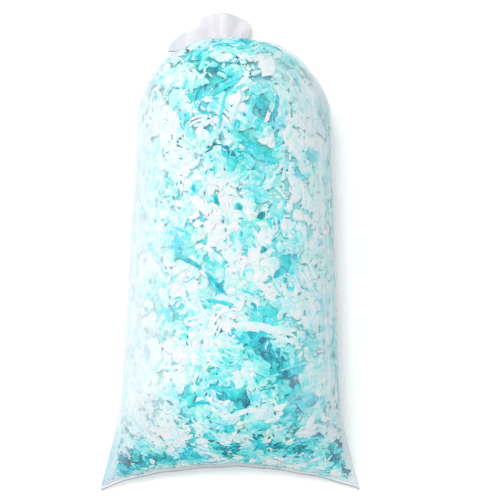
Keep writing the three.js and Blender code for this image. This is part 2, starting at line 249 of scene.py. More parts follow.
def crease_field(points):
    """Height and haze of the creases at each point of the upper film."""
    plan = points[..., :2] - np.array([0, FOOT_Y])
    height, haze = np.zeros((2, *points.shape[:-1]))
    for path, tall, wide in CREASES:
        nodes = np.array(path) * MM
        nearest = np.full(points.shape[:-1], np.inf)
        for a, b in zip(nodes[:-1], nodes[1:]):
            share = np.clip(((plan - a) @ (b - a)) / ((b - a) @ (b - a)), 0, 1)
            gap = np.linalg.norm(plan - a - share[..., None] * (b - a), axis=-1)
            nearest = np.minimum(nearest, gap)
        ridge = bell(nearest, 0, wide * MM)
        height += tall * MM * ridge
        haze += ridge
    return height, np.clip(haze, 0, 1)


def film_rows():
    """Rows of film from the foot's edge to the tail's rim, with each row's distance from the weld."""
    strip = np.linspace(-SEAM_STRIP, 0, STRIP_ROWS)[:-1]
    foot = FOOT_ROUNDING * np.linspace(0, 1, FOOT_ROWS) ** 1.6
    body = np.linspace(FOOT_ROUNDING, SHOULDER, BODY_ROWS)[1:]
    crown = SHOULDER + NECK_REACH * np.sin(np.radians(np.linspace(0, 90, CROWN_ROWS)[1:]))
    distance = np.concatenate([strip, foot, body, crown])
    points = section_points(np.maximum(distance, 0))
    points[: len(strip), :, 1] += strip[:, None]
    start, end, ring = neck_frame()
    neck = np.array([lerp(start, end, t) + ring for t in np.linspace(0, 1, NECK_ROWS)[1:]])
    tail = tail_points(np.linspace(0, 1, TAIL_ROWS)[1:])
    every = np.concatenate([points, neck, tail])
    beyond = SHOULDER + NECK_REACH + np.linspace(0, 1, len(neck) + len(tail) + 1)[1:] * 0.1
    return every, np.concatenate([distance, beyond])


# The film's lumps over the foam, as size and height
LUMPS = [(38 * MM, 1.2 * MM), (15 * MM, 0.3 * MM)]
# Pleats run up the crown to the neck; their widths are angles round the bag
FILM_SEED = 3
CROWN_PLEATS = 48
PLEAT_WIDTHS = (0.018, 0.045)
PLEAT_HEIGHTS = (0.6 * MM, 1.8 * MM)
PLEAT_STARTS = (-0.5, 0.55)
PLEAT_SWING = 0.12
SWING_LENGTH = 40 * MM
PLEAT_HAZE = 0.1
# Puckers run up from the weld; their places and widths are shares of half the weld
WELD_PUCKERS = 14
PUCKER_PLACES = (-0.8, 0.8)
PUCKER_MIDDLE = 6 * MM
PUCKER_WIDTHS = (0.03, 0.07)
PUCKER_LENGTHS = (16 * MM, 42 * MM)
PUCKER_HEIGHT = 3 * MM
PUCKER_HAZE = 0.05
CREASE_HAZE = 0.3


def crown_pleats(d, rng):
    """Height and haze of the pleats that draw the crown in to the neck."""
    neck = SHOULDER + NECK_REACH
    height, haze = np.zeros((2, len(d), AROUND))
    for _ in range(CROWN_PLEATS):
        middle = rng.uniform(0, 2 * math.pi)
        start = SHOULDER + rng.uniform(*PLEAT_STARTS) * NECK_REACH
        wide = rng.uniform(*PLEAT_WIDTHS)
        turn = np.angle(np.exp(1j * (THETA - middle)))[None, :]
        swing = PLEAT_SWING * np.sin((d - start) / SWING_LENGTH + middle)
        pleat = bell(turn + swing, 0, wide) * ramp(d, start, neck)
        pleat = pleat * ramp(d, SHOULDER + NECK_REACH * 1.01, SHOULDER + NECK_REACH * 0.9)
        stronger_right = 0.6 + 0.4 * math.cos(middle)
        height += pleat * rng.uniform(*PLEAT_HEIGHTS) * stronger_right
        haze += PLEAT_HAZE * stronger_right * pleat
    return height, haze


def weld_puckers(d, rng):
    """Height and haze of the short puckers along the weld."""
    across = np.sign(np.cos(THETA)) * np.abs(np.cos(THETA)) ** (2 / SEAM_FULLNESS)
    height, haze = np.zeros((2, len(d), AROUND))
    for _ in range(WELD_PUCKERS):
        middle = rng.uniform(*PUCKER_PLACES)
        pucker = bell(across, middle, rng.uniform(*PUCKER_WIDTHS))[None, :]
        pucker = pucker * bell(d, PUCKER_MIDDLE, rng.uniform(*PUCKER_LENGTHS)) * ramp(d, 0, 5 * MM)
        height += pucker * rng.uniform(0, PUCKER_HEIGHT)
        haze += PUCKER_HAZE * pucker
    return height, haze


def film_relief(points, distance):
    """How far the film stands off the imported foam, and how hazy that makes it, at every grid point."""
    d = distance[:, None]
    upper = ramp(np.sin(THETA)[None, :], -0.05, 0.15)
    in_body = ramp(d, 0.0, 60 * MM) * ramp(d, SHOULDER + NECK_REACH, SHOULDER + 0.7 * NECK_REACH)
    relief = np.zeros(points.shape[:-1])
    for seed, (size, height) in enumerate(LUMPS, 1):
        relief += (1 + noise_at(points, size, seed)) * height * in_body
    rng = np.random.default_rng(FILM_SEED)
    pleats, pleat_haze = crown_pleats(d, rng)
    puckers, pucker_haze = weld_puckers(d, rng)
    creases, crease_haze = crease_field(points)
    ends = ramp(d, 0, 8 * MM) * ramp(d, SHOULDER + 0.9 * NECK_REACH, SHOULDER + 0.6 * NECK_REACH)
    relief += pleats + puckers + creases * upper * ends
    return relief, pleat_haze + pucker_haze + CREASE_HAZE * crease_haze * upper


# How milky the film is, from 0 where it is clear to 1 at the weld's cut edge, where its colour turns dark
# as a painted shadow line
CLEAR_HAZE = 0.03
CLOUD_HAZE = 0.05
# The left side's milkier veil is partly painted light from the left
LEFT_HAZE_AND_PAINTED_LIGHT = 0.54
RIGHT_HAZE = 0.22
SHOULDER_HAZE = 0.16
TAIL_HAZE = 0.85
STRIP_HAZE = 0.65
# Haze near 1 turns the film dark at the weld's cut edge: a painted shadow line
CUT_EDGE_PAINTED_SHADOW = 0.3
# As milky as doubled film gets, short of the weld's strip
MILKIEST = 0.86
# On the left and on the right of the bag
SIDE_HAZE = (0.14, 0.1)
EAR_HAZE = (0.6, 0.35)
# Painted shade in the ears' film, on the left and on the right
EAR_SHADE = (1, 0.4)
# The film's drawn streaks and its clouds of haze
STREAK_SIZE = 14 * MM
STREAK_STRETCH = np.array([1, 0.12, 1])
CLOUD_SIZE = 70 * MM


def ear_film(distance):
    """1 where the film beside the foot lies flat and empty, fading towards the weld and up the bag."""
    return (ramp(distance, 0, 5 * MM) * ramp(distance, 110 * MM, 30 * MM))[:, None]


def film_haze(points, distance, creased):
    """Film blushes white where it is creased, doubled or stands off the foam; its stronger white veil on
    the left is partly painted light.
    """
    x = points[..., 0]
    d = distance[:, None]
    side = np.abs(np.cos(THETA))[None, :]
    upper = np.sin(THETA)[None, :] > -0.3
    filled = lerp(0.1, 1, ramp(d, 15 * MM, 120 * MM))
    high = lerp(0.3, 1, ramp(points[..., 2], 50 * MM, 125 * MM))
    # A whiter veil on the left, partly painted light from the left
    left = (0.45 * ramp(x, -50 * MM, -130 * MM) + 0.55 * ramp(x, -105 * MM, -160 * MM)) * high * filled
    right = ramp(x, 80 * MM, 165 * MM) * high * filled
    shoulder = ramp(x, 30 * MM, 120 * MM) * ramp(d, 540 * MM, 640 * MM) * upper
    streaks = 0.5 + 0.5 * noise_at(points * STREAK_STRETCH, STREAK_SIZE, 5)
    cloud = 0.5 + 0.5 * noise_at(points, CLOUD_SIZE, 6)
    haze = (CLEAR_HAZE + CLOUD_HAZE * cloud) * filled + LEFT_HAZE_AND_PAINTED_LIGHT * left * (0.8 + 0.2 * streaks)
    haze = haze + RIGHT_HAZE * right + SHOULDER_HAZE * shoulder
    edge = side**6 * filled * np.where(np.cos(THETA)[None, :] < 0, *SIDE_HAZE)
    ears = side**12 * ear_film(distance) * np.where(x < 0, *EAR_HAZE)
    tail = TAIL_HAZE * ramp(d, SHOULDER + 0.93 * NECK_REACH, SHOULDER + NECK_REACH)
    # The cut edge's dark colour is a painted shadow line under the weld
    strip = STRIP_HAZE * ramp(d, 5 * MM, -1 * MM) + CUT_EDGE_PAINTED_SHADOW * ramp(d, -2 * MM, -4.5 * MM)
    haze = np.minimum(haze + creased + edge + ears + tail, MILKIEST)
    return np.clip(haze + strip, 0, 1)


def painted_ear_shade(points, distance):
    """Painted shade inside the film where the ears lie empty: a pale aqua tint, stronger in the left one.
    """
    side = np.abs(np.cos(THETA))[None, :]
    return side**6 * ear_film(distance) * np.where(points[..., 0] < 0, *EAR_SHADE)


# The weld's waves as height and length in millimetres and phase. They fade out up the bag and on the floor
WELD_WAVES = [(1.4, 11, 0), (1.8, 31, 1)]
WAVE_FADE = 40 * MM
WAVE_ALONG = 0.6
OFF_THE_FLOOR = (4 * MM, 12 * MM)
# The film's two walls part this far from the weld
WALLS_PART = 0.4 * MM


def film_bag():
    """The film as a closed thin shell: outer wall to the tail's rim, then inner wall back to the weld."""
    points, distance = film_rows()
    x = points[..., 0]
    weld_wave = sum(height * np.sin(x / (length * MM) + phase) for height, length, phase in WELD_WAVES)
    fade = ramp(distance, WAVE_FADE, 0)[:, None]
    points[..., 1] += weld_wave * MM * fade * WAVE_ALONG
    points[..., 2] += (weld_wave * MM * fade) * ramp(points[..., 2], *OFF_THE_FLOOR)
    plain = points
    relief, creased = film_relief(points, distance)
    haze = film_haze(points, distance, creased)
    ear_shade = painted_ear_shade(points, distance)
    points = points + grid_normals(points) * relief[..., None]
    points[..., 2] = np.maximum(points[..., 2], 0)
    inside_from = int(np.searchsorted(distance, WALLS_PART))
    inner = points - grid_normals(points) * FILM_GAUGE
    inner[..., 2] = np.maximum(inner[..., 2], FILM_GAUGE)
    loops = np.concatenate([points, inner[inside_from:][::-1]])
    faces = []
    for row in range(len(loops) - 1):
        for k in range(AROUND):
            a, b = row * AROUND + k, row * AROUND + (k + 1) % AROUND
            faces.append((a, a + AROUND, b + AROUND, b))
    for row, facing in ((0, True), (len(loops) - 1, False)):
        for k in range(AROUND // 2):
            quad = [k, k + 1, (AROUND - k - 1) % AROUND, (AROUND - k) % AROUND]
            quad = list(dict.fromkeys(row * AROUND + i for i in quad))
            faces.append(tuple(quad if facing else quad[::-1]))
    piece = mesh_piece("bag_film_skin", loops.reshape(-1, 3), faces)
    for name, values in (("haze", haze), ("ear_shade", ear_shade)):
        both_walls = np.concatenate([values, np.zeros_like(values[inside_from:])])
        attribute = piece.data.attributes.new(name, "FLOAT", "POINT")
        attribute.data.foreach_set("value", both_walls.reshape(-1).astype(np.float32))
    return piece, plain, distance


film, film_grid, film_distance = film_bag()
film_normals = grid_normals(film_grid)
body_rows = int(np.searchsorted(film_distance, SHOULDER + NECK_REACH))
film_faces = [tuple(face.vertices) for face in film.data.polygons[: body_rows * AROUND]]
film_wall = BVHTree.FromPolygons([Vector(p) for p in film_grid.reshape(-1, 3)], film_faces)


# Foam: torn shapes about one unit long and flat in Z
# Each has its points, its faces and how near each point is to the torn rim
STRIP_SECTION = [(-1, -1), (1, -1), (1, 0.7), (0, 1.2), (-1, 0.7)]


def strip_shape(rng):
    """A torn ribbon of foam, bent and curled, with slanting ends."""
    stations = 7
    t = np.linspace(-0.5, 0.5, stations)
    taper = 1 - np.abs(2 * t) ** 4 * rng.uniform(0.3, 0.9)
    wide = rng.uniform(0.12, 0.22) * taper * rng.uniform(0.7, 1.25, stations)
    thick = rng.uniform(0.06, 0.1) * rng.uniform(0.8, 1.2, stations)
    bend = rng.uniform(-0.45, 0.45) * (t**2 - 0.1) + rng.uniform(-0.5, 0.5) * t**3
    curl = rng.uniform(-0.2, 0.3) * (t**2 - 0.1)
    roll = rng.uniform(-0.8, 0.8) * t + rng.uniform(-0.2, 0.2)
    slant = rng.uniform(-0.1, 0.1, 2)
    points, rim = [], []
    for i in range(stations):
        for side, high in STRIP_SECTION:
            y, z = side * wide[i] / 2, high * thick[i] / 2
            skew = side * (slant[0] * max(0, -2 * t[i]) ** 4 + slant[1] * max(0, 2 * t[i]) ** 4)
            level, rise = math.cos(roll[i]), math.sin(roll[i])
            y, z = y * level - z * rise, y * rise + z * level
            points.append((t[i] + skew, bend[i] + y, curl[i] + z))
            rim.append(max(abs(side), abs(2 * t[i]) ** 4))
    corners = len(STRIP_SECTION)
    faces = [tuple(range(corners))[::-1], tuple(corners * (stations - 1) + k for k in range(corners))]
    for i in range(stations - 1):
        for k in range(corners):
            a, b = corners * i + k, corners * i + (k + 1) % corners
            faces.append((a, b, b + corners, a + corners))
    return np.array(points), faces, np.array(rim)


FLAKE_RINGS = [(-0.5, 0.82), (-0.1, 1.0), (0.4, 0.9), (0.55, 0.5)]


def flake_shape(rng):
    """A flat torn flake with a ragged rim."""
    sides = int(rng.integers(8, 12))
    angle = (np.arange(sides) + rng.uniform(-0.35, 0.35, sides)) * 2 * math.pi / sides
    corners = int(rng.integers(3, 6))
    turned = angle * corners / 2 + rng.uniform(0, 6)
    reach = 0.5 * (0.78 + 0.22 * np.abs(np.cos(turned)) ** 2) * rng.uniform(0.78, 1.14, sides)
    narrow = rng.uniform(0.35, 0.75)
    thick = rng.uniform(0.1, 0.2)
    points = []
    for level, inset in FLAKE_RINGS:
        shrink = inset * rng.uniform(0.92, 1.05, sides)
        x, y = reach * shrink * np.cos(angle), narrow * reach * shrink * np.sin(angle)
        z = thick * (level + rng.uniform(-0.14, 0.14, sides))
        points.append(np.stack([x, y, z], axis=-1))
    points = np.concatenate(points + [[[0, 0, -0.5 * thick]], [[0, 0, 0.6 * thick]]])
    points[:, 2] += rng.uniform(-0.5, 0.5) * points[:, 0] ** 2 + rng.uniform(-0.6, 0.6) * points[:, 1] ** 2
    points[:, 2] += rng.uniform(-0.6, 0.6) * points[:, 0] * points[:, 1]
    top = len(FLAKE_RINGS) - 1
    faces = []
    for k in range(sides):
        n = (k + 1) % sides
        faces += [(n, k, (top + 1) * sides), (top * sides + k, top * sides + n, (top + 1) * sides + 1)]
        for ring in range(top):
            a, b = ring * sides + k, ring * sides + n
            faces.append((a, b, b + sides, a + sides))
    rim = np.concatenate([np.ones(top * sides), np.full(sides, 0.35), [1, 0]])
    return points, faces, rim


def ball(level):
    mesh = bpy.data.meshes.new("ball")
    shape = bmesh.new()
    bmesh.ops.create_icosphere(shape, subdivisions=level, radius=0.5)
    shape.to_mesh(mesh)
    shape.free()
    points = np.array([v.co[:] for v in mesh.vertices])
    faces = [tuple(f.vertices) for f in mesh.polygons]
    bpy.data.meshes.remove(mesh)
    return points, faces


def shard_shape(rng):
    """A small pointed splinter, a little raised in the middle."""
    rim = np.array([(-0.5, 0.0), (0.05, -0.2), (0.5, 0.0), (-0.1, 0.2)])
    rim = rim + rng.uniform(-0.1, 0.1, rim.shape)
    thick = rng.uniform(0.08, 0.2)
    low = np.column_stack([rim * 0.85, np.full(4, -thick / 2)])
    high = np.column_stack([rim, rng.uniform(0.2, 0.5, 4) * thick])
    middle = [[*rim.mean(axis=0), 0.8 * thick]]
    faces = [(3, 2, 1, 0)]
    for k in range(4):
        n = (k + 1) % 4
        faces += [(k, n, n + 4, k + 4), (k + 4, n + 4, 8)]
    return np.concatenate([low, high, middle]), faces, np.array([1] * 8 + [0])


CHUNK_CUTS = 6


def chunk_shape(rng, level=2):
    """A torn lump with a few flat cut sides."""
    points, faces = ball(level)
    points = points * np.array([1, rng.uniform(0.55, 0.95), rng.uniform(0.35, 0.65)])
    for _ in range(CHUNK_CUTS):
        direction = rng.normal(size=3)
        direction /= np.linalg.norm(direction)
        reach = (points @ direction).max() * rng.uniform(0.55, 0.85)
        over = np.maximum(points @ direction - reach, 0)
        points = points - over[:, None] * direction
    rim = 1 - np.clip(points[:, 2] / points[:, 2].max(), 0, 1)
    return points * rng.uniform(0.92, 1.08, (len(points), 1)), faces, rim


def on_film(count, rng, first, last):
    """Random places on the film between two distances from the weld, even over its area."""
    rows = np.where((film_distance >= first) & (film_distance <= last))[0][:-1]
    a = film_grid[rows]
    along = film_grid[rows + 1] - a
    around = np.roll(a, -1, axis=1) - a
    area = np.linalg.norm(np.cross(along, around), axis=-1).reshape(-1)
    cells = rng.choice(len(area), count, p=area / area.sum())
    row, column = rows[cells // AROUND], cells % AROUND
    u, v = rng.uniform(0, 1, (2, count, 1))
    nxt = (column + 1) % AROUND
    low = lerp(film_grid[row, column], film_grid[row, nxt], u)
    high = lerp(film_grid[row + 1, column], film_grid[row + 1, nxt], u)
    around = film_grid[row, nxt] - film_grid[row, column]
    around /= np.maximum(np.linalg.norm(around, axis=-1, keepdims=True), 1e-9)
    return lerp(low, high, v), film_normals[row, column], around


# Where the shreds under the upper film are mostly aqua, as (x, distance from the weld, radius, strength)
AQUA_SPOTS = [
    (-9, 663, 22, 0.7), (32, 721, 22, 0.9), (57, 612, 27, 0.6), (27, 570, 26, 0.6), (12, 519, 25, 0.95),
    (-40, 700, 27, 0.4), (57, 495, 20, 0.5), (40, 405, 22, 0.45), (105, 350, 25, 0.6), (-80, 384, 24, 0.7),
    (-30, 296, 26, 0.95), (71, 272, 29, 0.75), (38, 224, 31, 0.8), (92, 190, 28, 0.8), (98, 147, 32, 0.85),
    (6, 130, 32, 1.0), (-85, 122, 28, 0.6), (137, 124, 24, 0.5), (-31, 92, 20, 0.4), (95, 100, 24, 0.8),
    (-188, 6, 16, 1.1), (-162, 12, 20, 1.3), (-128, 18, 16, 1.4), (-103, 16, 14, 1.2), (-74, 32, 15, 1.0),
    (-54, 20, 14, 1.0), (-11, 28, 18, 1.6), (13, 37, 14, 1.3), (28, 21, 14, 1.0), (48, 44, 16, 1.0),
    (80, 35, 18, 1.6), (122, 32, 20, 1.8), (173, 25, 12, 1.7), (190, 10, 12, 1.6), (206, -4, 10, 1.4),
    (203, -13, 10, 0.9), (212, -23, 10, 0.8),
    (153, 52, 14, 1.5), (53, 73, 14, 1.0), (-36, 68, 14, 0.4), (-1, 73, 10, 1.2), (116, 73, 14, 0.5),
    (-106, 491, 25, 0.4), (-90, 256, 26, 0.45), (127, 238, 23, 0.4), (-68, 592, 22, 0.35),
    (-35, 169, 26, 0.35), (-8, 200, 24, 0.65), (-60, 650, 18, 0.4), (92, 518, 20, 0.4),
    (-43, 482, 20, 0.4), (-145, 42, 17, 0.6), (-3, 537, 16, 0.4), (77, 440, 18, 0.25),
    (98, 692, 20, 0.8), (72, 726, 17, 0.9), (-28, 349, 18, 0.7), (60, 186, 22, 0.4),
]
# Where they are mostly white
WHITE_SPOTS = [
    (61, 684, 24, 0.8), (-123, 594, 32, 0.55), (-81, 541, 31, 0.55), (126, 570, 28, 0.7),
    (-38, 408, 38, 0.8),
    (49, 353, 28, 1.0), (0, 326, 14, 0.2), (-72, 326, 34, 1.0), (-100, 190, 42, 0.6), (94, 242, 20, 0.3),
    (-114, 100, 30, 0.4), (-130, 55, 28, 0.5), (-17, 452, 34, 1.1), (60, 98, 20, 0.5), (-56, 230, 32, 0.3),
    (0, 257, 26, 0.7), (24, 182, 18, 0.6), (124, 425, 26, 0.3), (100, 622, 24, 0.4), (157, 160, 24, 0.25),
    (24, 618, 18, 0.5), (-30, 595, 18, 0.4), (38, 548, 24, 0.6), (77, 303, 20, 0.35), (-17, 378, 18, 0.4),
    (180, 58, 14, 0.8),
    (139, 68, 20, 1.0), (6, 54, 15, 0.9), (-20, 14, 12, 1.2), (9, 14, 10, 1.2), (61, 59, 12, 1.0),
    (96, 47, 12, 1.0), (151, 25, 14, 0.8), (84, 12, 12, 1.1), (-108, 52, 20, 0.9), (-58, 52, 20, 1.3),
]
# Shreds that show plainly through the upper film: shape, x, distance from the weld, turn, length, dye
PLACED = [
    ("strip", -20, 673, -10, 37, "deep"), ("strip", -3, 648, 28, 57, "bright"),
    ("strip", -13, 655, 35, 40, "strong"), ("strip", 2, 638, 25, 50, "light"),
    ("strip", -53, 636, 75, 30, "strong"), ("strip", 10, 613, 70, 66, "cool"),
    ("strip", -10, 611, 80, 60, "bright"), ("flake", 49, 625, 20, 37, "strong"),
    ("strip", 39, 611, 80, 50, "light"), ("strip", 79, 611, 75, 50, "strong"),
    ("strip", 55, 638, 20, 47, "light"), ("flake", 65, 595, 70, 27, "white"),
    ("strip", 24, 558, -35, 67, "bright"), ("strip", 49, 541, -28, 67, "strong"),
    ("strip", 57, 530, -20, 57, "bright"), ("flake", 5, 515, 60, 37, "bright"),
    ("strip", -28, 548, 60, 30, "deep"), ("flake", 65, 683, 70, 53, "white"),
    ("flake", 25, 718, 10, 37, "bright"), ("strip", 15, 725, -15, 43, "light"),
    ("strip", 45, 715, -12, 50, "light"), ("strip", -40, 698, 80, 40, "light"),
    ("strip", -48, 708, 60, 33, "bright"), ("flake", -23, 705, 0, 33, "pale"),
    ("strip", 55, 470, -30, 60, "light"), ("flake", 55, 432, 30, 20, "deep"),
    ("flake", 57, 375, 80, 17, "deep"), ("strip", -68, 357, -25, 50, "strong"),
    ("strip", -21, 320, -50, 50, "strong"), ("strip", -11, 287, -10, 50, "bright"),
    ("flake", 84, 338, 45, 33, "strong"), ("strip", 112, 342, -75, 47, "light"),
    ("flake", 65, 273, -20, 50, "bright"), ("strip", 57, 245, -8, 90, "cool"),
    ("flake", 39, 222, 0, 37, "strong"), ("flake", 55, 225, 40, 23, "deep"),
    ("flake", 27, 228, 80, 27, "bright"), ("flake", 55, 180, -40, 43, "light"),
    ("strip", 114, 182, 15, 50, "light"), ("flake", 15, 135, 30, 40, "strong"),
    ("flake", 29, 125, 70, 27, "deep"), ("flake", -1, 142, 0, 30, "bright"),
    ("strip", -55, 118, 20, 40, "strong"), ("flake", -65, 125, 60, 23, "bright"),
    ("strip", 32, 105, 12, 57, "cool"), ("flake", 85, 112, 30, 30, "white"),
    ("flake", 55, 80, 0, 37, "bright"), ("flake", 139, 84, 80, 40, "white"),
    ("flake", 140, 122, 30, 33, "strong"),
]


# Away from the spots, the share of aqua wanders about a mean in patches, as size and strength
MEAN_AQUA = 0.32
MARGIN_LESS = 0.14
AQUA_PATCHES = [(60 * MM, 0.2), (26 * MM, 0.25), (13 * MM, 0.2)]
FIRST_PATCH_SEED = 11
SPOT_WEIGHT = 0.5


def aqua_share(points):
    """The share of aqua shreds at each place. The left margin has fewer, and the spots are on top."""
    plan = points[:, :2] - np.array([0, FOOT_Y])
    margin = ramp(points[:, 0], -100 * MM, -165 * MM) * ramp(plan[:, 1], 60 * MM, 120 * MM)
    share = MEAN_AQUA - MARGIN_LESS * margin
    for seed, (size, strength) in enumerate(AQUA_PATCHES, FIRST_PATCH_SEED):
        share = share + strength * noise_at(points, size, seed)
    on_top = np.clip(ramp(points[:, 2], 70 * MM, 110 * MM) + ramp(plan[:, 1], 90 * MM, 50 * MM), 0, 1)
    for spots, way in ((AQUA_SPOTS, SPOT_WEIGHT), (WHITE_SPOTS, -SPOT_WEIGHT)):
        for x, d, radius, strength in spots:
            gap = np.linalg.norm(plan - np.array([x, d]) * MM, axis=-1)
            share += way * strength * bell(gap, 0, radius * MM) * on_top
    return np.clip(share, 0.0, 1.0)


# How far a shred is dyed: 0 is undyed white foam, 1 is the deepest aqua
DYES = {
    "white": 0.0, "cool": 0.12, "pale": 0.26, "light": 0.44, "bright": 0.6, "strong": 0.76, "deep": 0.94
}
AQUA_FROM = 0.3
DYE_SPREAD = 0.13
ODD_SHREDS = 0.1
RIM_BLEND = 0.72
# Undersides are tinted deeper aqua as painted shade in the gaps between shreds
UNDERSIDE_PAINTED_SHADE = 0.15
# Dye drifts over a shred, about as much from end to end as from side to side
DYE_DRIFT = 0.06
TO_THE_ENDS = 2
TO_THE_SIDES = 5


def usual_dye(share):
    return share**1.5


def shred_dye(share, rng):
    """A shred is dyed much as those about it, and now and then quite otherwise."""
    dye = usual_dye(share) + rng.normal(0, DYE_SPREAD)
    if rng.uniform(0, 1) < ODD_SHREDS:
        dye = rng.uniform(0, 1) ** 1.6
    return float(np.clip(dye, 0, 1))


CLUMPS = [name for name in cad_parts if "_shreds_" in name]
CLUMP_MIDDLE = {name: np.mean([np.array(corner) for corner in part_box(name)], axis=0) for name in CLUMPS}
FAR_FROM_CLUMP = 95 * MM

shreds = {name: [] for name in CLUMPS}


def nearest_clumps(points, kind):
    names = [name for name in CLUMPS if name.startswith(kind)]
    middles = np.array([CLUMP_MIDDLE[name] for name in names])
    gaps = np.linalg.norm(points[:, None] - middles[None], axis=-1)
    best = gaps.argmin(axis=1)
    return [names[i] for i in best], gaps.min(axis=1)


def under_and_over(point):
    """Whether film lies both over and under a point."""
    return all(film_wall.ray_cast(point, Vector((0, 0, way)))[0] is not None for way in (1, -1))


# Close to the weld, what would leave the bag is drawn back towards the foam's heart
FOOT_ZONE = 60 * MM
FOAM_HEART = Vector((0, FOOT_Y + 70 * MM, 60 * MM))
DRAWN_BACK = 4


def press_inside(points, gaps):
    """Points that would come nearer to the film than their gap lie that far under it instead."""
    pressed = points.copy()
    for i, (p, gap) in enumerate(zip(points, gaps)):
        point = Vector(p)
        place, normal, _, _ = film_wall.find_nearest(point)
        if (point - place).dot(normal) > -gap:
            point = place - normal * gap
        if p[1] < FOOT_Y + FOOT_ZONE and not under_and_over(point):
            point = place + (FOAM_HEART - place).normalized() * DRAWN_BACK * gap
        pressed[i] = point
    return pressed


def lay(shape, place, normal, across, depth, length, spin, lean, way):
    """A shape turned and set at a depth under its place on the film."""
    along = np.cross(normal, across)
    up = normal * math.cos(lean) + (across * math.cos(way) + along * math.sin(way)) * math.sin(lean)
    first = across * math.cos(spin) + along * math.sin(spin)
    first = first - up * (first @ up)
    first /= np.linalg.norm(first)
    second = np.cross(up, first)
    turned = shape[:, :1] * first + shape[:, 1:2] * second + shape[:, 2:] * up
    return place - normal * depth + turned * length


def keep_shred(name, shape, points, level, dye, usual, rng):
    """Add a shred to its clump. Its rim is dyed more like its neighbours, and its underside deeper aqua as
    painted shade for the gaps.
    """
    along, across = rng.normal(0, DYE_DRIFT, 2)
    flat, faces, rim = shape
    dyes = lerp(dye, usual, RIM_BLEND * rim) + UNDERSIDE_PAINTED_SHADE * (flat[:, 2] < 0)
    dyes = dyes + along * TO_THE_ENDS * flat[:, 0] + across * TO_THE_SIDES * flat[:, 1]
    shreds[name].append((points, faces, np.full(len(points), level), dyes))


# The shreds that show plainly, under the film
PLAIN_SHAPES = 12
PLAIN_DEPTH = 2 * MM
PLAIN_LEVELS = (0.6 * MM, 0.8 * MM)
PLAIN_TILT = 0.1


def place_shreds(rng):
    """Lay the shreds that show plainly, and return where they are and how far they reach."""
    found = []
    for kind, x, d, turn, length, dye in PLACED:
        hit, normal, _, _ = film_wall.ray_cast(Vector((x * MM, FOOT_Y + d * MM, 1)), Vector((0, 0, -1)))
        if hit is None:
            continue
        shape = (STRIPS if kind == "strip" else FLAKES)[int(rng.integers(0, PLAIN_SHAPES))]
        normal = np.array(normal)
        across = np.cross(np.array([0, 1, 0]), normal)
        across /= np.linalg.norm(across)
        spin, lean = math.radians(turn), rng.normal(0, PLAIN_TILT)
        points = lay(shape[0], np.array(hit), normal, across, PLAIN_DEPTH, length * MM, spin, lean, 0)
        family = "aqua" if DYES[dye] > AQUA_FROM else "white"
        clump = nearest_clumps(np.array(hit)[None], family)[0][0]
        keep_shred(clump, shape, points, rng.uniform(*PLAIN_LEVELS), DYES[dye], DYES[dye], rng)
        found.append((np.array(hit), length * MM))
    return found


# How far the foam stays out of the left and the right ear, and how far up the bag
EMPTY_EARS = (10 * MM, 6 * MM)
EAR_ZONE = (110 * MM, 20 * MM)


def film_half_width(y):
    """Half the bag's width at each place along it."""
    widest = film_grid[:, 0, :]
    order = np.argsort(widest[:body_rows, 1])
    return np.interp(y, widest[order, 1], widest[order, 0])


def foam_reach(points, short=0.0):
    """How far from the middle the foam reaches at each place, so that the ears stay partly empty."""
    near_foot = ramp(points[:, 1] - FOOT_Y, *EAR_ZONE)
    empty = (np.where(points[:, 0] < 0, *EMPTY_EARS) + short) * near_foot
    return np.where(near_foot > 0, film_half_width(points[:, 1]) - empty, np.inf)


# Shreds near the weld are shorter and lie closer to the film
FOOT_SHORTER = 0.75
FOOT_CLOSER = 0.4
# The foam's edge in the ears, as a share of a shred's length, a height and a size
RAGGED = (0.4, 6 * MM, 9 * MM)
# Shreds lie roughly along the foam's flow, which turns over this size
FLOW_SIZE = 85 * MM
FLOW_TURN = 3.5 * math.pi
FLOW_SPREAD = 0.55
# Torn bunches lie side by side, as shares of their length and a spread of their turns
BUNCH_SPACING = (0.14, 0.22)
BUNCH_STAGGER = 0.2
BUNCH_SPREAD = 0.12
LEVEL_SPREAD = 0.3 * MM
# Layers less deep than this, in millimetres, mostly leave the middles of the plain shreds clear
SHALLOW = 2
CLEAR_WITHIN = 0.36
MOSTLY = 0.8


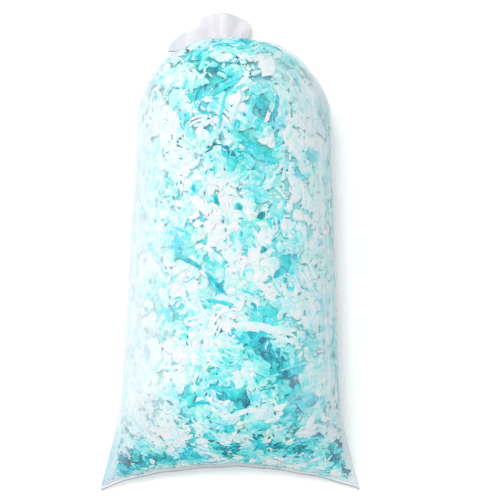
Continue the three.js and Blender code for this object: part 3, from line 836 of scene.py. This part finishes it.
def scatter(rng, count, makers, sizes, levels, tilt, bunch=(1, 1), more_aqua=0.0, dyed=None):
    """Tear shreds and press them under the film, alone or in bunches, sorted into their clumps."""
    places, normals, around = on_film(count, rng, 1 * MM, SHOULDER + 0.97 * NECK_REACH)
    share = np.clip(aqua_share(places) + more_aqua, 0, 1)
    length = rng.uniform(*sizes, count) * MM
    level = rng.uniform(*levels, count) * MM
    foot = ramp(places[:, 1] - FOOT_Y, FOOT_ZONE, 0)
    length = length * lerp(1, FOOT_SHORTER, foot)
    level = level * lerp(1, FOOT_CLOSER, foot)
    ragged = RAGGED[0] * length + RAGGED[1] * noise_at(places, RAGGED[2], 17)
    in_ear = np.abs(places[:, 0]) > foam_reach(places, ragged)
    names = {kind: nearest_clumps(places, kind) for kind in ("aqua", "white")}
    flow = FLOW_TURN * noise_at(places, FLOW_SIZE, 15)
    plain = PLAIN if levels[0] < SHALLOW else []
    for i in range(count):
        covered = any(np.linalg.norm(places[i] - spot) < CLEAR_WITHIN * reach for spot, reach in plain)
        if in_ear[i] or (covered and rng.uniform(0, 1) < MOSTLY):
            continue
        spin, lean = rng.normal(flow[i], FLOW_SPREAD), rng.normal(0, tilt)
        way = rng.uniform(0, 2 * math.pi)
        together = int(rng.integers(bunch[0], bunch[1] + 1))
        bunched = min(1, together - 1)
        along = np.cross(normals[i], around[i])
        beside = along * math.cos(spin) - around[i] * math.sin(spin)
        ahead = around[i] * math.cos(spin) + along * math.sin(spin)
        for k in range(together):
            aside = (k - (together - 1) / 2) * rng.uniform(*BUNCH_SPACING)
            shift = beside * aside + ahead * rng.uniform(-BUNCH_STAGGER, BUNCH_STAGGER) * bunched
            place = places[i] + shift * length[i]
            shape = makers[int(rng.integers(0, len(makers)))]
            gap = level[i] + rng.uniform(0, LEVEL_SPREAD)
            turn = spin + rng.normal(0, BUNCH_SPREAD) * bunched
            points = lay(shape[0], place, normals[i], around[i], gap + 1 * MM, length[i], turn, lean, way)
            usual = usual_dye(share[i])
            dye = shred_dye(share[i], rng)
            if dyed:
                usual = dye = rng.uniform(*dyed)
            kind, other = ("aqua", "white") if dye > AQUA_FROM else ("white", "aqua")
            if names[kind][1][i] > FAR_FROM_CLUMP and names[other][1][i] < names[kind][1][i]:
                kind = other
            keep_shred(names[kind][0][i], shape, points, gap, dye, usual, rng)


# Faces that meet at more than this look torn
TORN_EDGE = math.radians(40)


def foam_pieces():
    """Each clump's shreds as one piece that stands for its CAD solid."""
    pieces = []
    for name in CLUMPS:
        faces = []
        start = 0
        for points, shred_faces, _, _ in shreds[name]:
            faces += [tuple(start + k for k in face) for face in shred_faces]
            start += len(points)
        points, levels, dyes = (np.concatenate([shred[k] for shred in shreds[name]]) for k in (0, 2, 3))
        piece = mesh_piece(name + "_foam", press_inside(points, levels), faces)
        piece.data.set_sharp_from_angle(angle=TORN_EDGE)
        attribute = piece.data.attributes.new("dye", "FLOAT", "POINT")
        attribute.data.foreach_set("value", dyes.astype(np.float32))
        pieces.append((name, piece))
    return pieces


# The imported middles of the clumps: under the shreds, well short of the ears, and dyed rather deep aqua;
# where they show in the gaps between shreds, that aqua is partly painted shade
CORE_LEVEL = 2.2 * MM
CORE_SHORT = 45 * MM
CORE_AQUA_AND_GAP_SHADE = 0.1
CORE_DYE_AND_GAP_SHADE = (0.35, 0.9)


def clump_core(name):
    """The middle of a clump, kept under the shreds that lie against the film."""
    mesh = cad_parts[name].data
    points = np.array([v.co[:] for v in mesh.vertices])
    faces = [tuple(f.vertices) for f in mesh.polygons]
    dyes = np.clip(CORE_AQUA_AND_GAP_SHADE + aqua_share(points), *CORE_DYE_AND_GAP_SHADE)
    widest = foam_reach(points, CORE_SHORT)
    points[:, 0] = np.clip(points[:, 0], -widest, widest)
    shreds[name].append((points, faces, np.full(len(points), CORE_LEVEL), dyes))


SHRED_SEED = 20
rng = np.random.default_rng(SHRED_SEED)
# A few of each shape, used over and over
STRIPS = [strip_shape(rng) for _ in range(14)]
FLAKES = [flake_shape(rng) for _ in range(16)]
CHUNKS = [chunk_shape(rng) for _ in range(12)]
CRUMBS = [chunk_shape(rng, 1) for _ in range(10)]
SHARDS = [shard_shape(rng) for _ in range(16)]
SOME_FLAKES = FLAKES[:6]
# The foam's layers from the deepest to the film, with lengths and depths under it in millimetres
LAYERS = [
    # The deepest layer runs more aqua; where it shows in the gaps, that is partly painted shade
    dict(count=820, makers=CHUNKS, sizes=(30, 54), levels=(2.2, 3), tilt=0.3, more_aqua=0.12),
    dict(count=2000, makers=CHUNKS + SOME_FLAKES, sizes=(16, 34), levels=(1.5, 2.1), tilt=0.25),
    dict(count=3200, makers=FLAKES, sizes=(8, 26), levels=(0.9, 1.5), tilt=0.15),
    dict(count=420, makers=STRIPS, sizes=(16, 44), levels=(0.8, 1.2), tilt=0.1, bunch=(2, 4)),
    dict(count=3400, makers=SHARDS, sizes=(6, 15), levels=(0.6, 1), tilt=0.15),
    dict(count=1400, makers=CRUMBS, sizes=(3, 7), levels=(0.5, 0.9), tilt=0.4),
    dict(count=900, makers=SHARDS, sizes=(6, 12), levels=(0.5, 0.7), tilt=0.3, dyed=(0.6, 1)),
]
for name in CLUMPS:
    clump_core(name)
PLAIN = place_shreds(rng)
for layer in LAYERS:
    scatter(rng, **layer)
foam = foam_pieces()


# Materials
def material(name):
    """A material, its node tree and its main shader."""
    made = bpy.data.materials.new(name)
    made.use_nodes = True
    return made, made.node_tree, made.node_tree.nodes["Principled BSDF"]


def add(tree, kind, settings=None, stops=(), **links):
    """Add a node with its settings and colour stops, and feed its sockets from nodes or plain values."""
    made = tree.nodes.new(kind)
    for key, value in (settings or {}).items():
        setattr(made, key, value)
    if stops:
        colours = made.color_ramp.elements
        colours[0].color = linear(stops[0][1])
        colours[1].color = linear(stops[-1][1])
        for position, colour in stops[1:-1]:
            colours.new(position).color = linear(colour)
    for socket, value in links.items():
        by_number = socket.startswith("in")
        target = made.inputs[int(socket[2:]) if by_number else socket.replace("_", " ")]
        if isinstance(value, bpy.types.NodeSocket):
            tree.links.new(value, target)
        else:
            target.default_value = value
    return made


# Film from blushed to doubled, then a dark painted shadow line at the weld's cut edge
FILM_MILK_AND_EDGE_SHADOW = [(0, "#EFF9FD"), (0.5, "#F2FBFE"), (0.66, "#E7E5EC"), (0.78, "#E7E5EC"), (1, "#74727E")]
# The ears' film is tinted this pale aqua as painted shade
EAR_SHADE_COLOUR = "#A9DEEC"
FILM_STREAK = 24 * MM
FILM_WRINKLE = 12 * MM
WRINKLE_HEIGHT = 1 * MM


def film_material():
    """Blown polythene film: clear, nearly invisible face on, milky where creased, doubled or edge on, with
    a painted shadow line at the weld's cut edge and painted shade in the ears.
    """
    made, tree, skin = material("clear_polythene_film")
    skin.inputs["IOR"].default_value = 1.5
    place = add(tree, "ShaderNodeTexCoord").outputs["Object"]
    haze = add(tree, "ShaderNodeAttribute", {"attribute_name": "haze"}).outputs["Fac"]
    thick = add(tree, "ShaderNodeMapRange", Value=haze, From_Min=0.5, From_Max=1.0).outputs["Result"]
    dull = add(tree, "ShaderNodeMapRange", Value=thick, To_Min=0.22, To_Max=0.5).outputs["Result"]
    tree.links.new(dull, skin.inputs["Roughness"])
    # The colour's dark end is a painted shadow line at the weld's cut edge
    milk_and_edge_shadow = add(tree, "ShaderNodeValToRGB", stops=FILM_MILK_AND_EDGE_SHADOW, Fac=thick).outputs["Color"]
    # Painted shade: the film in the ears is tinted pale aqua
    ear_shade = add(tree, "ShaderNodeAttribute", {"attribute_name": "ear_shade"}).outputs["Fac"]
    ear_shaded = add(tree, "ShaderNodeMix", {"data_type": "RGBA"}, in0=ear_shade, in6=milk_and_edge_shadow, in7=linear(EAR_SHADE_COLOUR))
    tree.links.new(ear_shaded.outputs[2], skin.inputs["Base Color"])
    drawn = add(tree, "ShaderNodeMapping", Vector=place, Scale=(1, 0.1, 1)).outputs["Vector"]
    streak = add(tree, "ShaderNodeTexNoise", Vector=drawn, Scale=1 / FILM_STREAK, Detail=2.0).outputs["Fac"]
    streaked = add(
        tree, "ShaderNodeMapRange", Value=streak, From_Min=0.3, From_Max=0.7, To_Min=0.85, To_Max=1.15
    ).outputs["Result"]
    veil = add(tree, "ShaderNodeMath", {"operation": "MULTIPLY"}, in0=haze, in1=streaked).outputs[0]
    edge = add(tree, "ShaderNodeLayerWeight", Blend=0.35).outputs["Facing"]
    rim = add(tree, "ShaderNodeMath", {"operation": "POWER"}, in0=edge, in1=3.5).outputs[0]
    soft_rim = add(tree, "ShaderNodeMath", {"operation": "MULTIPLY"}, in0=rim, in1=0.16).outputs[0]
    cover = add(tree, "ShaderNodeMath", {"operation": "ADD", "use_clamp": True}, in0=veil, in1=soft_rim)
    tree.links.new(cover.outputs[0], skin.inputs["Alpha"])
    wrinkle = add(tree, "ShaderNodeTexNoise", Vector=place, Scale=1 / FILM_WRINKLE, Detail=3.0)
    height = wrinkle.outputs["Fac"]
    bump = add(tree, "ShaderNodeBump", Height=height, Strength=0.12, Distance=WRINKLE_HEIGHT)
    tree.links.new(bump.outputs["Normal"], skin.inputs["Normal"])
    return made


# The foam's colours from undyed white to the deepest aqua, in a bluish and a greenish batch of dye
BLUISH_BATCH = ["#F2EFF6", "#E1F3F8", "#BDEFF5", "#8AE9F2", "#50E1EE", "#1AD0E3", "#00ACC6", "#007596"]
GREENISH_BATCH = ["#F0F3F2", "#DDF3F1", "#BBF1ED", "#8EEEE9", "#56E7E4", "#20D9D9", "#00B5BC", "#00818F"]
BATCH_PATCH = 30 * MM
DYE_CLOUD = 9 * MM
UNEVEN = 0.18
# Real pores are under a millimetre; they are drawn coarser so that they show at this distance
FOAM_PORE = 2.2 * MM
PORE_DEPTH = 0.8 * MM


def foam_material(name):
    """Torn memory foam: dull and finely pored, dyed unevenly, so it runs deeper and paler in patches."""
    made, tree, skin = material(name)
    skin.inputs["Roughness"].default_value = 0.95
    skin.inputs["Specular IOR Level"].default_value = 0.15
    place = add(tree, "ShaderNodeTexCoord").outputs["Object"]
    dye = add(tree, "ShaderNodeAttribute", {"attribute_name": "dye"}).outputs["Fac"]
    clouds = add(tree, "ShaderNodeTexNoise", Vector=place, Scale=1 / DYE_CLOUD, Detail=4.0, Roughness=0.65)
    cloud = clouds.outputs["Fac"]
    uneven = add(
        tree, "ShaderNodeMapRange", Value=cloud, From_Min=0.3, From_Max=0.7, To_Min=-UNEVEN, To_Max=UNEVEN
    ).outputs["Result"]
    dyed = add(tree, "ShaderNodeMath", {"operation": "ADD", "use_clamp": True}, in0=dye, in1=uneven)
    batches = []
    for batch in (BLUISH_BATCH, GREENISH_BATCH):
        stops = [(i / (len(batch) - 1), colour) for i, colour in enumerate(batch)]
        batches.append(add(tree, "ShaderNodeValToRGB", stops=stops, Fac=dyed.outputs[0]).outputs["Color"])
    patch = add(tree, "ShaderNodeTexNoise", Vector=place, Scale=1 / BATCH_PATCH, Detail=3.0).outputs["Fac"]
    share = add(tree, "ShaderNodeMapRange", Value=patch, From_Min=0.35, From_Max=0.65).outputs["Result"]
    mixed = add(tree, "ShaderNodeMix", {"data_type": "RGBA"}, in0=share, in6=batches[0], in7=batches[1])
    tree.links.new(mixed.outputs[2], skin.inputs["Base Color"])
    pores = add(tree, "ShaderNodeTexVoronoi", Vector=place, Scale=1 / FOAM_PORE).outputs["Distance"]
    bump = add(tree, "ShaderNodeBump", Height=pores, Strength=0.2, Distance=PORE_DEPTH)
    tree.links.new(bump.outputs["Normal"], skin.inputs["Normal"])
    return made


TIE_WHITES = [(0, "#E6E8EA"), (1, "#F4F5F6")]
TIE_GRAIN = 3 * MM
TIE_GRAIN_DEPTH = 0.2 * MM


def tie_material():
    """Extruded plastic twist tie: white and satin, with a faintly uneven skin."""
    made, tree, skin = material("white_twist_tie_plastic")
    skin.inputs["Roughness"].default_value = 0.4
    place = add(tree, "ShaderNodeTexCoord").outputs["Object"]
    grain = add(tree, "ShaderNodeTexNoise", Vector=place, Scale=1 / TIE_GRAIN, Detail=3.0).outputs["Fac"]
    whites = add(tree, "ShaderNodeValToRGB", stops=TIE_WHITES, Fac=grain)
    tree.links.new(whites.outputs["Color"], skin.inputs["Base Color"])
    bump = add(tree, "ShaderNodeBump", Height=grain, Strength=0.2, Distance=TIE_GRAIN_DEPTH)
    tree.links.new(bump.outputs["Normal"], skin.inputs["Normal"])
    return made


film.data.materials.append(film_material())
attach(film, "root")
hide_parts("bag_film")
FOAM_LOOKS = {"aqua": foam_material("aqua_memory_foam"), "white": foam_material("white_memory_foam")}
for name, piece in foam:
    kind = name.split("_")[0]
    piece.data.materials.append(FOAM_LOOKS[kind])
    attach(piece, "root")
    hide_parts(name)
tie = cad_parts["neck_tie"]
tie.data.materials.clear()
tie.data.materials.append(tie_material())


# Stage, in metres
FLOOR_HALF = 4
# How much brighter the eye and the film see the floor than it lights the bag
FLOOR_GLOW = 0.14
# The dome's strength from the left and from the right
DOME = (0.72, 0.58)
# Each lamp's name, strength, spread in degrees and direction
LAMPS = [("key", 1.1, 16, (0.17, -0.36, -1)), ("left_fill", 0.8, 40, (1, -0.1, -0.5))]
# The camera looks straight down, right of the bag's middle. Its lens is in millimetres
CAMERA_PLACE = (0.0354, 0.003, 3.0)
FOCAL_LENGTH = 121.5
SENSOR_WIDTH = 36
FARTHEST_SEEN = 20


def seen_plainly(tree):
    """1 for what the eye sees, directly, mirrored or through film, and 0 for what only lights the bag."""
    ray = add(tree, "ShaderNodeLightPath").outputs
    seen = ray["Is Camera Ray"]
    for kind in ("Is Glossy Ray", "Is Transmission Ray"):
        seen = add(tree, "ShaderNodeMath", {"operation": "MAXIMUM"}, in0=seen, in1=ray[kind]).outputs[0]
    return seen


def floor():
    """A white floor that keeps the bag's shadow."""
    corners = [(x * FLOOR_HALF, y * FLOOR_HALF, 0) for x, y in ((-1, -1), (1, -1), (1, 1), (-1, 1))]
    made = mesh_piece("floor", corners, [(0, 1, 2, 3)])
    look, tree, skin = material("pale_floor")
    skin.inputs["Base Color"].default_value = linear("#FCFCFC")
    skin.inputs["Roughness"].default_value = 0.9
    skin.inputs["Specular IOR Level"].default_value = 0.0
    skin.inputs["Emission Color"].default_value = linear("#FFFFFF")
    glow = add(tree, "ShaderNodeMath", {"operation": "MULTIPLY"}, in0=seen_plainly(tree), in1=FLOOR_GLOW)
    tree.links.new(glow.outputs[0], skin.inputs["Emission Strength"])
    made.data.materials.append(look)


def lamps():
    """A soft white dome, brighter from the left, a high lamp at the upper left and a fill from the left."""
    world = bpy.data.worlds.new("soft_studio")
    world.use_nodes = True
    tree = world.node_tree
    sky = tree.nodes["Background"]
    sky.inputs["Color"].default_value = linear("#FFFFFF")
    towards = add(tree, "ShaderNodeTexCoord").outputs["Generated"]
    across = add(tree, "ShaderNodeSeparateXYZ", Vector=towards).outputs["X"]
    left, right = DOME
    dome = add(tree, "ShaderNodeMapRange", Value=across, From_Min=-1, To_Min=left, To_Max=right)
    lit = dome.outputs["Result"]
    seen = seen_plainly(tree)
    backdrop = add(tree, "ShaderNodeMix", {"data_type": "FLOAT"}, in0=seen, in2=lit, in3=1.0)
    tree.links.new(backdrop.outputs[0], sky.inputs["Strength"])
    bpy.context.scene.world = world
    for name, strength, spread, direction in LAMPS:
        lamp = bpy.data.lights.new(name, "SUN")
        lamp.energy = strength
        lamp.angle = math.radians(spread)
        made = bpy.data.objects.new(name, lamp)
        made.rotation_euler = Vector(direction).to_track_quat("-Z", "Y").to_euler()
        bpy.context.collection.objects.link(made)


def camera():
    """A camera over the bag, as far off as its lens needs to frame it as the photograph does."""
    lens = bpy.data.cameras.new("camera")
    lens.lens = FOCAL_LENGTH
    lens.sensor_width = SENSOR_WIDTH
    lens.clip_end = FARTHEST_SEEN
    made = bpy.data.objects.new("camera", lens)
    made.location = CAMERA_PLACE
    bpy.context.collection.objects.link(made)
    bpy.context.scene.camera = made


floor()
lamps()
camera()
bpy.context.scene.view_settings.view_transform = "Standard"
